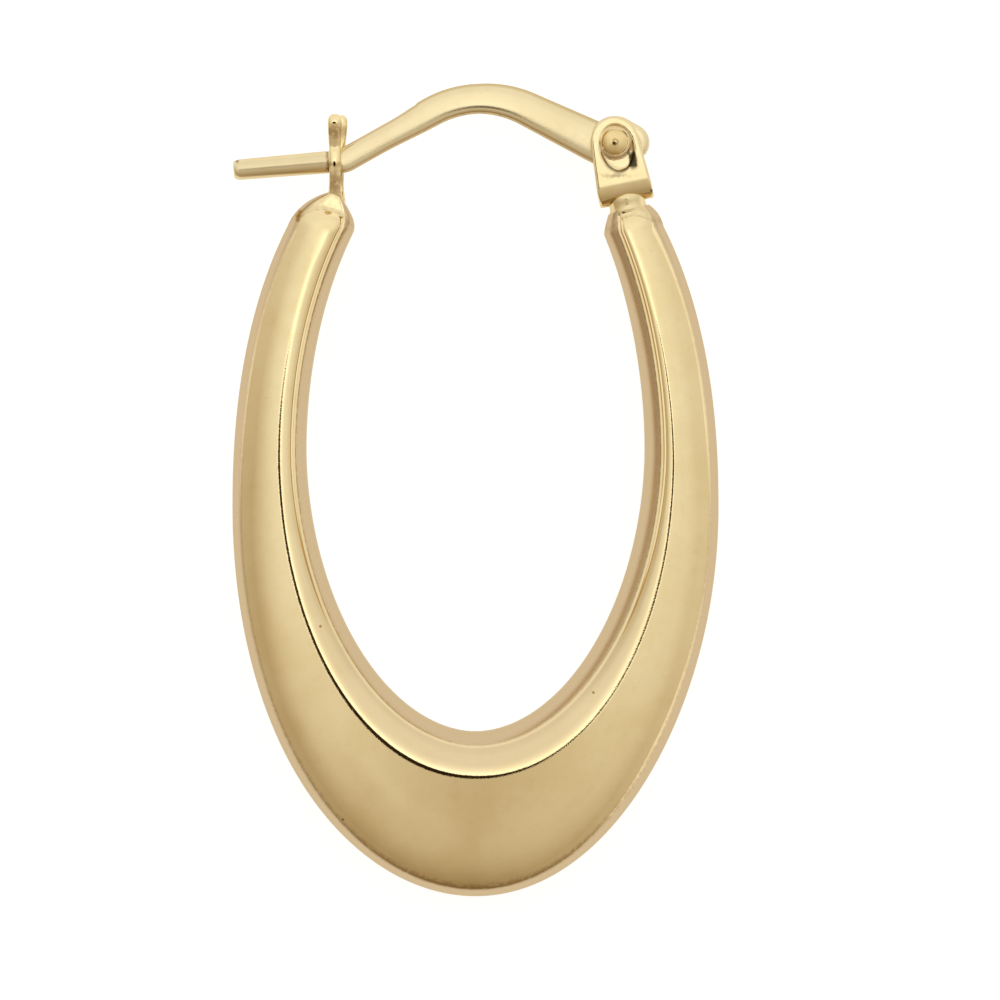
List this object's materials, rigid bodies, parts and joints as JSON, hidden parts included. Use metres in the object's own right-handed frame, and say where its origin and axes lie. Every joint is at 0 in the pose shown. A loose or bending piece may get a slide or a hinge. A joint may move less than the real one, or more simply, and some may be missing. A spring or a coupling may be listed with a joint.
{
  "type": "creole hoop earring",
  "caption": "Hollow crescent creole hoop earring with a ridged front and back, a hinged arched ear wire with a round post, and a sprung fork catch.",
  "frame": {"origin": "middle of the outline, on the ground under the back face that the earring lies on", "axes": "+X from the catch to the hinge, +Y from the foot of the hoop to the ear wire, +Z from the back face to the front face"},
  "size_m": [0.0174, 0.029, 0.0033],
  "materials": {
    "hoop_gold": "polished yellow gold",
    "wire_gold": "polished yellow gold with a drawn grain",
    "rivet_gold": "polished yellow gold"
  },
  "bodies": {
    "hoop": {"hoop": "hoop_gold", "hinge_rivet": "rivet_gold"},
    "ear_wire": {"ear_wire": "wire_gold"}
  },
  "joints": [
    {"name": "ear_wire_swing", "type": "hinge", "parent": "hoop", "child": "ear_wire", "pos_m": [0.00498, 0.0124, 0.00165], "axis": [0, 0, -1], "range_deg": [0, 100]}
  ]
}
